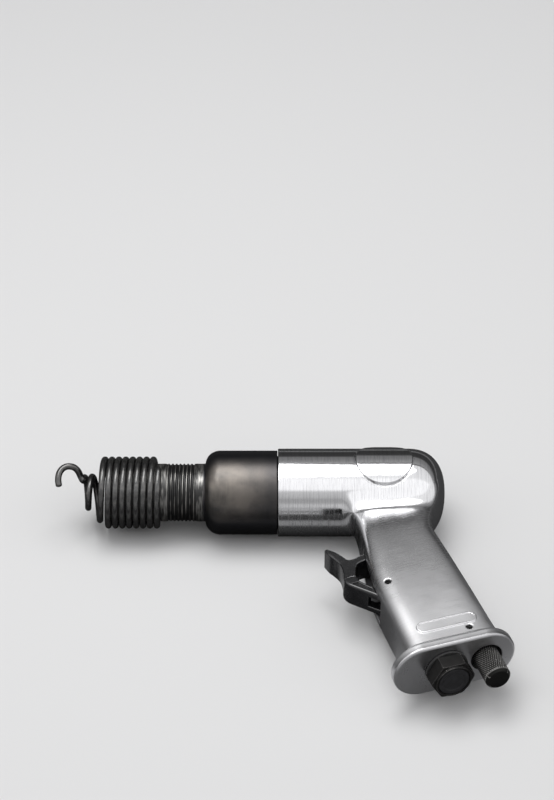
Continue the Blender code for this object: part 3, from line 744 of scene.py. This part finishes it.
def knob_steel():
    """Regulator knob: near-black valleys under rubbed knurl points."""
    material, place, colour, rough, normal = black_steel(
        "knob_black_oxide", DOWN, grip_point(REGULATOR_S, 0), (0.008, 0.008, 0.008),
        (0.022, 0.022, 0.021), KNOB_R - 1.5)
    tree = material.node_tree
    high = crest(tree, place, DOWN, grip_point(REGULATOR_S, 0), KNOB_R - 0.2, KNOB_R - 0.02)[0]
    colour = blend(tree, maths(tree, "MULTIPLY", high, 0.8), colour, (0.24, 0.235, 0.23))
    return finish_material(material, colour, rough, 0.9, {"Normal": normal})


def spring_black():
    """Black spring wire with a soft sheen and rubbed spots."""
    material, tree, place = start_material("spring_wire_black")
    mottle = noise(tree, place, 0.5, 4.0, 0.6)
    fine = noise(tree, place, 3.0, 3.0, 0.6)
    colour = blend(tree, span(tree, mottle, 0.4, 0.7), (0.11, 0.11, 0.11), (0.18, 0.175, 0.17))
    colour = blend(tree, span(tree, fine, 0.66, 0.74, 0.0, 0.7), colour, (0.36, 0.35, 0.34))
    rough = span(tree, mottle, 0.3, 0.7, 0.16, 0.26)
    return finish_material(material, colour, rough, 0.9,
                           {"Normal": bump(tree, fine, 0.012, 0.6)})


def trigger_black():
    """Glossy black moulding, slightly wavy, with fine scuffs."""
    material, tree, place = start_material("trigger_gloss_black")
    waves = noise(tree, place, 0.25, 2.0, 0.5)
    fine = noise(tree, place, 6.0, 3.0, 0.65)
    scuffs = noise(tree, stretched(tree, place, (DOWN, BACK, UP), (0.5, 6.0, 2.0)), 1.0, 3.0)
    colour = blend(tree, span(tree, waves, 0.35, 0.7), (0.007, 0.007, 0.008),
                   (0.014, 0.014, 0.015))
    rough = maths(tree, "ADD", span(tree, scuffs, 0.5, 0.75, 0.16, 0.34),
                  span(tree, waves, 0.3, 0.7, 0.0, 0.05))
    normal = bump(tree, waves, 0.10, 0.6)
    normal = bump(tree, fine, 0.004, 0.6, normal)
    return finish_material(material, colour, rough, 0.0, {
        "Normal": normal, "Specular IOR Level": 0.4, "Coat Weight": 1.0, "Coat IOR": 1.6,
        "Coat Roughness": 0.14})


def turned_metal(name, bright, dull, axis, roughness):
    """Machined metal with fine turning lines about an axis."""
    material, tree, place = start_material(name)
    lines = turning_lines(tree, place, axis, 8.0, 0.2, 0.5)
    stain = noise(tree, place, 0.3, 3.0, 0.6)
    colour = blend(tree, span(tree, stain, 0.35, 0.7), bright, dull)
    rough = span(tree, lines, 0.3, 0.7, roughness - 0.05, roughness + 0.10)
    return finish_material(material, colour, rough, 1.0,
                           {"Normal": bump(tree, lines, 0.008, 0.7)})


def matte_black(name, colour, roughness, sheen):
    """Rubber or moulded plastic with a fine grain."""
    material, tree, place = start_material(name)
    grain = noise(tree, place, 5.0, 4.0, 0.65)
    cloudy = noise(tree, place, 0.4, 2.0, 0.5)
    light = tuple(value * 2.2 for value in colour)
    shade = blend(tree, span(tree, cloudy, 0.3, 0.75), colour, light)
    rough = span(tree, grain, 0.3, 0.7, roughness - 0.08, roughness + 0.08)
    return finish_material(material, shade, rough, 0.0,
                           {"Sheen Weight": sheen, "Normal": bump(tree, grain, 0.03, 0.5)})


# ---- housing

FRONT_AT = smooth_curve(GRIP_FRONT)
REAR_AT = smooth_curve(GRIP_REAR)
HALF_WIDTH_AT = smooth_curve(GRIP_HALF_WIDTH, 5.0)


def rod_field(x, y, z, start, end, radius):
    """Distance to a straight round rod with flat ends."""
    start = np.asarray(start, float)
    axis = np.asarray(end, float) - start
    length = np.linalg.norm(axis)
    axis = axis / length
    px, py, pz = x - start[0], y - start[1], z - start[2]
    along = px * axis[0] + py * axis[1] + pz * axis[2]
    off = np.sqrt(np.maximum(px * px + py * py + pz * pz - along * along, 0)) - radius
    return np.maximum(off, np.maximum(-along, along - length))


def casting_outside(x, y, z):
    """Outer skin: round body and dome, badge pad, grip, panel and foot flange."""
    s, h = grip_coordinates(x, y)
    across = np.hypot(y, z)
    body = bulge(across, np.maximum(x - DOME_START, 0), HOUSING_R, HOUSING_REAR - DOME_START,
                 DOME_POWER)
    front = FRONT_AT(h)
    rear = REAR_AT(h)
    grip = bulge(s - (front + rear) / 2, z, (rear - front) / 2, HALF_WIDTH_AT(h), GRIP_POWER)
    panel = meet(stadium(s - PANEL_S, h - PANEL_H, PANEL_HALF_LENGTH, PANEL_HALF_WIDTH),
                 np.maximum(grip - PANEL_PROUD, -z), 0.25)
    grip = meet(grip, slab(h, GRIP_TOP, FLANGE_FACE - 2), 1.0)
    skin = join(body, grip, SADDLE_R)
    skin = meet(skin, -x, 0.5)
    pad = meet(bulge(x - BADGE_X, y, BADGE_HALF_LENGTH, BADGE_HALF_WIDTH, 2.2),
               np.maximum(across - HOUSING_R - BADGE_PROUD, BADGE_LOWEST - z), 0.35)
    rim = np.abs(bulge(x - BADGE_X, y, BADGE_HALF_LENGTH + 0.5, BADGE_HALF_WIDTH + 0.5, 2.2))
    groove = np.maximum(np.maximum(rim - 0.35, HOUSING_R - 0.25 - across), BADGE_LOWEST - z)
    skin = cut(skin, groove, 0.15)
    skin = join(skin, pad, 0.1)
    recess = stadium(s - PANEL_S, h - PANEL_H, PANEL_HALF_LENGTH - 0.9, PANEL_HALF_WIDTH - 0.9)
    panel = cut(panel, np.maximum(recess, np.maximum(PANEL_PROUD - 0.3 - grip, -z)), 0.15)
    skin = join(skin, panel, 0.1)
    flange = meet(stadium(s - FLANGE_MIDDLE_S, z, FLANGE_HALF_LENGTH, FLANGE_HALF_WIDTH),
                  slab(h, FLANGE_TOP, FLANGE_FACE), 1.4)
    return join(skin, flange, 1.2)


def housing_field(x, y, z):
    """Casting with its cavity, trigger slot, bores and pin holes."""
    s, h = grip_coordinates(x, y)
    across = np.hypot(y, z)
    solid = casting_outside(x, y, z)
    solid = cut(solid, meet(across - CAVITY_R, x - CAVITY_END, 0.6), 0.5)
    slot = np.maximum(np.maximum(slab(s, SLOT_LOW[0], SLOT_HIGH[0]),
                                 slab(h, SLOT_LOW[1], SLOT_HIGH[1])), np.abs(z) - SLOT_HALF_WIDTH)
    solid = cut(solid, slot, 0.7)
    off_throttle = np.hypot(h - THROTTLE_H, z)
    throttle = np.minimum(
        np.maximum(off_throttle - THROTTLE_BORE_R, slab(s, THROTTLE_MOUTH_S, THROTTLE_BORE_END)),
        np.maximum(off_throttle - BUSHING_SEAT_R, slab(s, THROTTLE_MOUTH_S, BUSHING_SEAT_END)))
    solid = cut(solid, throttle, 0.3)
    off_inlet = np.hypot(s - INLET_S, z)
    inlet = np.minimum(np.maximum(off_inlet - SOCKET_R, slab(h, SOCKET_FLOOR, HEX_END)),
                       np.maximum(off_inlet - FEED_R, slab(h, FEED_END, INLET_TUBE_END)))
    solid = cut(solid, inlet, 0.4)
    off_regulator = np.hypot(s - REGULATOR_S, z)
    regulator = np.minimum(
        np.maximum(off_regulator - REGULATOR_BORE_R, slab(h, REGULATOR_BORE_END, KNOB_START)),
        np.maximum(off_regulator - OPENING_R, slab(h, FLANGE_TOP, HEX_END)))
    solid = cut(solid, regulator, 0.5)
    for start, end, radius in PASSAGES:
        passage = rod_field(x, y, z, grip_point(*start), grip_point(*end), radius)
        solid = cut(solid, passage, 0.3)
    for pin_s, pin_h in PINS.values():
        solid = cut(solid, np.hypot(s - pin_s, h - pin_h) - PIN_HOLE_R, 0.55)
    return solid


# ---- barrel

def barrel_relief(r, a, turn):
    """Helical thread on the neck, between its start and end."""
    phase = np.mod(a / THREAD_PITCH + turn, 1.0)
    groove = np.clip(0.5 - 0.62 * np.cos(math.tau * phase), 0, 1) ** 0.8
    fade = np.clip((THREAD_START - a) / 1.2, 0, 1) * np.clip((a - THREAD_END) / 1.2, 0, 1)
    outside = r > NECK_R - 0.1
    return np.where(outside, r - THREAD_DEPTH * groove * fade, r)


def make_barrel(material):
    """Steel barrel: rear spigot, round shoulder, threaded neck and bored nose."""
    arc = np.linspace(0, math.pi / 2, 28)[1:-1]
    shoulder = [(NECK_R + (BARREL_R - NECK_R) * math.cos(t),
                 SHOULDER_END - (SHOULDER_END - NECK_START) * math.sin(t)) for t in arc]
    rear = soften([(BORE_R, SPIGOT_END), (SPIGOT_R, SPIGOT_END), (SPIGOT_R, 9.6),
                   (SPIGOT_R - 1.6, 9.6), (SPIGOT_R - 1.6, 7.0), (SPIGOT_R, 7.0),
                   (SPIGOT_R, -GAP), (BARREL_R, -GAP), (BARREL_R, SHOULDER_END)], 0.5)[1:]
    neck = [(NECK_R, a) for a in np.arange(NECK_START - 0.4, THREAD_END - 2.0, -0.12)]
    nose = soften([(NECK_R, THREAD_END - 3.0), (NECK_R, NOSE_FACE), (SHANK_R, NOSE_FACE),
                   (SHANK_R, BORE_FRONT), (BORE_R, BORE_FRONT), (BORE_R, SPIGOT_END)], 0.8)
    profile = np.array([*rear, *shoulder, *neck, *nose])
    lathe("barrel_body", profile, (0, 0, 0), (1, 0, 0), "housing", material, "barrel",
          columns=180, shape=barrel_relief)


# ---- retainer spring

def coil_point(radius, turn, x):
    """Point on the spring wire, starting at the top and turning towards -Y."""
    angle = math.tau * turn
    return np.array((x, -radius * math.sin(angle), radius * math.cos(angle)))


def make_spring(material):
    """Nose spring: close coils, a narrow gate coil and the bent thumb hook."""
    steps = 60
    path = [coil_point(COIL_R, i / steps, COIL_REAR - COIL_PITCH * i / steps)
            for i in range(COIL_TURNS * steps + 1)]
    coil_front = COIL_REAR - COIL_PITCH * COIL_TURNS
    for i in range(1, steps + 1):
        turn = i / steps
        ease = (1 - math.cos(math.pi * turn)) / 2
        path.append(coil_point(COIL_R + (GATE_R - COIL_R) * ease, turn,
                               coil_front - GATE_LEAD * ease - GATE_DRIFT * turn))
    gate_start = coil_front - (GATE_LEAD + GATE_DRIFT)
    path += [coil_point(GATE_R, i / steps, gate_start - GATE_PITCH * i / steps)
             for i in range(1, steps + 1)]
    hook = np.array(HOOK) + (gate_start - GATE_PITCH, 0.0, 0.0)
    path += list(through([path[-1], *hook], 10)[1:])
    wire("retainer_spring_coil", path, WIRE_R, "retainer_spring", material, "retainer_spring")


# ---- trigger

def polygon_field(u, v, outline):
    """Distance to a closed outline, negative inside."""
    nearest = np.full(np.broadcast(u, v).shape, 1e9)
    inside = np.zeros(nearest.shape, bool)
    for (u0, v0), (u1, v1) in zip(outline, np.roll(outline, -1, axis=0)):
        eu, ev = u1 - u0, v1 - v0
        wu, wv = u - u0, v - v0
        t = np.clip((wu * eu + wv * ev) / max(eu * eu + ev * ev, 1e-9), 0, 1)
        nearest = np.minimum(nearest, (wu - eu * t) ** 2 + (wv - ev * t) ** 2)
        crosses = (v0 > v) != (v1 > v)
        inside ^= crosses & (u < (v - v0) * eu / (ev if ev else 1e-9) + u0)
    nearest = np.sqrt(nearest)
    return np.where(inside, -nearest, nearest)


def trigger_outline():
    """Side view of the trigger in (s, h): hooked lip, finger hollow, lobe, pivot end, tongue."""
    eye = [(PIVOT_S + EYE_R * math.cos(math.radians(a)),
            PIVOT_H + EYE_R * math.sin(math.radians(a))) for a in range(140, -91, -15)]
    return np.concatenate([through(FINGER_SIDE, 5), eye, through(INNER_SIDE, 5),
                           through(LIP_BACK, 5)])


TRIGGER_OUTLINE = trigger_outline()


def trigger_field(x, y, z):
    """Moulded trigger: slim lip above a wider lobe, channelled arms on the pin."""
    s, h = grip_coordinates(x, y)
    side = polygon_field(s, h, TRIGGER_OUTLINE)
    lobe = np.minimum(np.hypot(s - LOBE_MIDDLE[0], h - LOBE_MIDDLE[1]) - LOBE_R,
                      LOBE_MIDDLE[1] - h)
    slim = meet(side, np.abs(z) - LIP_HALF_WIDTH, 0.9)
    wide = meet(meet(side, lobe, 0.4), np.abs(z) - TRIGGER_HALF_WIDTH, 0.9)
    solid = join(slim, wide, 0.3)
    channel_side = meet(side + 1.3, slab(h, LOBE_MIDDLE[1] - 2.0, PIVOT_H - 4.6), 0.6)
    channel_side = np.maximum(channel_side, TRIGGER_HALF_WIDTH - 0.9 - np.abs(z))
    solid = cut(solid, channel_side, 0.3)
    channel = np.maximum(np.maximum(slab(s, PIVOT_S - 8.5, PIVOT_S + 6.0), PIVOT_H - 6.5 - h),
                         np.abs(z) - 3.0)
    solid = cut(solid, channel, 0.5)
    return cut(solid, np.hypot(s - PIVOT_S, h - PIVOT_H) - PIN_HOLE_R, 0.3)


def make_throttle_spring(material):
    """Return spring behind the throttle stem."""
    steps = 36
    count = THROTTLE_SPRING_TURNS * steps
    path = []
    for i in range(count + 1):
        angle = math.tau * i / steps
        reach = THROTTLE_SPRING_START + THROTTLE_SPRING_LENGTH * i / count
        path.append(grip_point(reach, THROTTLE_H - THROTTLE_SPRING_R * math.cos(angle),
                               THROTTLE_SPRING_R * math.sin(angle)))
    spring = wire("throttle_return_spring", path, THROTTLE_WIRE_R, "housing", material,
                  "throttle_spring", sides=12)
    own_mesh(spring)


# ---- inlet and regulator

def inlet_field(x, y, z):
    """Hexagon bushing: chamfered hexagon, collar, tube and threaded bore."""
    s, h = grip_coordinates(x, y)
    across = s - INLET_S
    off = np.hypot(across, z)
    half = HEX_FLAT / 2
    flats = np.abs(z)
    for sign in (1, -1):
        flats = np.maximum(flats, np.abs(0.5 * z + sign * 0.5 * math.sqrt(3) * across))
    prism = meet(flats - half, slab(h, HEX_START, HEX_END), 0.3)
    cone = (off - CHAMFER_R + (h - HEX_END) * CHAMFER_SLOPE) / math.hypot(1, CHAMFER_SLOPE)
    prism = meet(prism, cone, 0.25)
    collar = meet(off - COLLAR_R, slab(h, HEX_END - 1, COLLAR_END), 0.35)
    tube = meet(off - INLET_TUBE_R, slab(h, INLET_TUBE_END, HEX_END), 0.3)
    solid = join(np.minimum(prism, tube), collar, 0.3)
    floor = COLLAR_END - MOUTH_DEPTH
    fade = np.clip(np.minimum(h - INLET_BORE_FLOOR - 1.5, floor - 1.2 - h), 0, 1)
    turns = h / INLET_THREAD_PITCH + np.arctan2(z, across) / math.tau
    thread = INLET_THREAD_DEPTH * fade * np.cos(math.tau * turns)
    mouth = np.maximum(off - MOUTH_R, floor - h)
    bore = np.maximum(off - INLET_BORE_R - np.minimum(thread, 0.12), INLET_BORE_FLOOR - h)
    solid = cut(solid, mouth, 0.3)
    solid = cut(solid, bore, 0.25)
    return cut(solid, off - INLET_PORT_R, 0.2)


def make_plug(material):
    """Push-in transport plug with a dished head and ribs on its skirt."""
    head = COLLAR_END - 0.2
    floor = COLLAR_END - MOUTH_DEPTH + GAP
    ribs = []
    for a in np.arange(floor - 1.2, PLUG_END + 1.0, -1.4):
        ribs += [(PLUG_R, a), (PLUG_R + 0.3, a - 0.3), (PLUG_R, a - 0.9)]
    profile = soften([(0.0, head - PLUG_DISH), (5.2, head - PLUG_DISH), (5.7, head),
                      (PLUG_HEAD_R, head), (PLUG_HEAD_R, floor), (PLUG_R, floor), *ribs,
                      (PLUG_R - 0.2, PLUG_END), (PLUG_INSIDE_R, PLUG_END),
                      (PLUG_INSIDE_R, head - 1.6), (0.0, head - 1.6)], 0.3)
    profile[0, 0] = profile[-1, 0] = POLE_R
    lathe("inlet_plug_cap", profile, grip_point(INLET_S, 0), DOWN, "inlet_plug", material,
          "inlet_plug", columns=72, closed=False)


def knurl_relief(r, a, turn):
    """Diamond knurl on the knob's grip."""
    def ridge(value):
        return 1 - 2 * np.abs(np.mod(value, 1.0) - 0.5)
    diamond = np.minimum(ridge(turn * KNURL_TEETH + a / KNURL_PITCH),
                         ridge(turn * KNURL_TEETH - a / KNURL_PITCH))
    fade = np.clip((a - KNOB_START - 0.6) / 0.5, 0, 1) * np.clip((KNOB_END - 1.5 - a) / 0.5, 0, 1)
    outside = r > KNOB_R - 0.05
    return np.where(outside, r - KNURL_DEPTH * (1 - np.minimum(diamond * 1.6, 1)) * fade, r)


def make_knob(material):
    """Regulator: knurled knob with a chamfered end on its spindle."""
    end = soften([(0.0, KNOB_END), (KNOB_R - 1.2, KNOB_END), (KNOB_R, KNOB_END - 1.3),
                  (KNOB_R, KNOB_END - 2.0)], 0.25)
    grip = [(KNOB_R, a) for a in np.arange(KNOB_END - 2.0, KNOB_START + 0.4, -0.16)]
    spindle = soften([(KNOB_R, KNOB_START), (KNOB_R - 0.8, KNOB_START - 1.0),
                      (SPINDLE_R, KNOB_START - 1.0), *SPINDLE_PROFILE], 0.3)
    profile = np.array([*end, *grip, *spindle])
    profile[0, 0] = profile[-1, 0] = POLE_R
    lathe("regulator_knob", profile, grip_point(REGULATOR_S, 0), DOWN, "regulator", material,
          "regulator", columns=KNURL_TEETH * 8, shape=knurl_relief, closed=False)


def make_pins(material):
    """Rolled spring pins, open along one side."""
    for name, (s, h) in PINS.items():
        def pin_field(x, y, z, s=s, h=h):
            ds, dh = grip_coordinates(x, y)
            off = np.hypot(ds - s, dh - h)
            tube = meet(np.abs(off - PIN_R + 0.3) - 0.3, np.abs(z) - PIN_HALF_LENGTH, 0.12)
            gap = np.maximum(np.abs(dh - h) - 0.22, s - ds)
            return cut(tube, gap, 0.06)
        sculpt(name + "_rolled", pin_field, 0.16, "housing", material, name,
               refined=False)


# ---- build the pieces

aluminium = polished_aluminium()
steel_tones = (0.62, 0.62, 0.62), (0.46, 0.45, 0.44)
ground_steel = turned_metal("ground_steel", *steel_tones, (1, 0, 0), 0.22)
pin_steel = turned_metal("spring_pin_steel", (0.06, 0.06, 0.06), (0.03, 0.03, 0.03), UP, 0.45)
grip_steel = turned_metal("stem_steel", *steel_tones, BACK, 0.22)
brass = turned_metal("turned_brass", (0.74, 0.55, 0.26), (0.55, 0.40, 0.20), BACK, 0.28)
rubber = matte_black("nitrile_rubber", (0.018, 0.018, 0.018), 0.72, 0.1)
plastic = matte_black("plug_plastic", (0.007, 0.007, 0.008), 0.46, 0.0)

sculpt("housing_casting", housing_field, 0.5, "housing", aluminium, "housing")
make_barrel(barrel_steel())
make_spring(spring_black())
sculpt("trigger_lever", trigger_field, 0.3, "trigger", trigger_black(), "trigger")
make_throttle_spring(grip_steel)
sculpt("inlet_hex_bushing", inlet_field, 0.28, "housing", inlet_steel(), "inlet_bushing")
make_plug(plastic)
make_knob(knob_steel())
make_pins(pin_steel)

CAD_FINISHES = (
    (ground_steel, ("piston", "valve_disc", "valve_case_front", "valve_case_rear",
                    "valve_dowel")),
    (grip_steel, ("throttle_stem",)),
    (brass, ("throttle_bushing", "inlet_screen")),
    (rubber, ("barrel_seal_ring", "valve_gasket", "bushing_seal_ring", "inlet_washer",
              "regulator_seal_ring")),
)
for finish, names in CAD_FINISHES:
    for name in names:
        cad_mesh = frame["nodes"][name].data
        cad_mesh.materials.clear()
        cad_mesh.materials.append(finish)


# ---- stage, light and camera

def level_ramp(tree, value, full, stops):
    """Grey level along a value; the stops give it in units of which the ramp holds `full`."""
    made = tree.nodes.new("ShaderNodeValToRGB")
    tree.links.new(value, made.inputs[0])
    elements = made.color_ramp.elements
    elements[0].position = 0
    elements[1].position = 1
    for _ in stops[2:]:
        elements.new(0.5)
    for element, (place, level) in zip(elements, stops):
        element.position = place / full
        element.color = (level, level, level * 1.01, 1)
    return made.outputs[0]


def make_floor():
    """Plain pale floor that polished metal mirrors as a darker one."""
    bpy.ops.mesh.primitive_plane_add(size=8.0)
    floor = bpy.context.object
    floor.name = "floor"
    material = bpy.data.materials.new("pale_floor")
    material.use_nodes = True
    tree = material.node_tree
    tree.nodes.clear()
    mirrored = node(tree, "ShaderNodeLightPath")["Is Glossy Ray"]
    height = node(tree, "ShaderNodeSeparateXYZ",
                  {0: node(tree, "ShaderNodeNewGeometry")["Position"]})["Y"]
    ahead = maths(tree, "SUBTRACT", float(TOOL[1] * MM), height)
    reflected = level_ramp(tree, span(tree, ahead, 0.0, 0.3), 300,
                           [(0, 0.04), (33, 0.04), (37, 0.22), (50, 0.22), (54, 0.035),
                            (100, 0.04), (108, 0.42), (126, 0.42), (134, 0.15), (205, 0.15),
                            (218, 0.42), (300, 0.42)])
    colour = blend(tree, mirrored, (0.72, 0.72, 0.72), reflected)
    floor.data.materials.append(
        finish_material(material, colour, 0.8, 0.0, {"Specular IOR Level": 0.1}))


def make_world():
    """Studio surroundings as a soft ramp from the back horizon over the top to the front."""
    world = bpy.data.worlds.new("studio")
    bpy.context.scene.world = world
    world.use_nodes = True
    tree = world.node_tree
    tree.nodes.clear()
    direction = node(tree, "ShaderNodeTexCoord")["Generated"]
    parts = node(tree, "ShaderNodeSeparateXYZ", {0: direction})
    angle = maths(tree, "ARCTAN2", parts["Z"], parts["Y"])
    share = maths(tree, "DIVIDE", angle, math.pi)
    level = level_ramp(tree, share, 180, [
        (0, 0.20), (8, 0.03), (30, 0.035), (33, 0.15), (45, 0.18), (58, 0.27), (59.5, 0.03),
        (61.5, 0.03), (63, 0.68), (100, 0.76), (106, 0.97), (132, 0.95), (138, 0.50),
        (153, 0.42), (158, 0.30), (168, 0.32), (172, 0.50), (180, 0.50)])
    background = node(tree, "ShaderNodeBackground", {"Color": level, "Strength": 1.12})
    node(tree, "ShaderNodeOutputWorld", {"Surface": background[0]})


def make_light():
    """One soft overhead light for the shadows."""
    data = bpy.data.lights.new("softbox", "AREA")
    data.shape = "RECTANGLE"
    data.size = 0.9
    data.size_y = 0.6
    data.energy = 6.0
    light = bpy.data.objects.new("softbox", data)
    light.location = (-0.15, 0.15, 1.1)
    light.rotation_euler = (-Vector(light.location)).to_track_quat("-Z", "Y").to_euler()
    bpy.context.scene.collection.objects.link(light)


def make_camera():
    """Long lens, looking down at the tool from its grip side."""
    data = bpy.data.cameras.new("camera")
    data.sensor_width = 36
    data.lens = 103.5
    camera = bpy.data.objects.new("camera", data)
    camera.location = Vector(TOOL * MM) + Vector((-0.00051, -0.9003, 0.7636))
    camera.rotation_euler = (math.radians(90 - 38), 0, 0)
    bpy.context.scene.collection.objects.link(camera)
    bpy.context.scene.camera = camera


make_floor()
make_world()
make_light()
make_camera()
bpy.context.scene.view_settings.view_transform = "Standard"
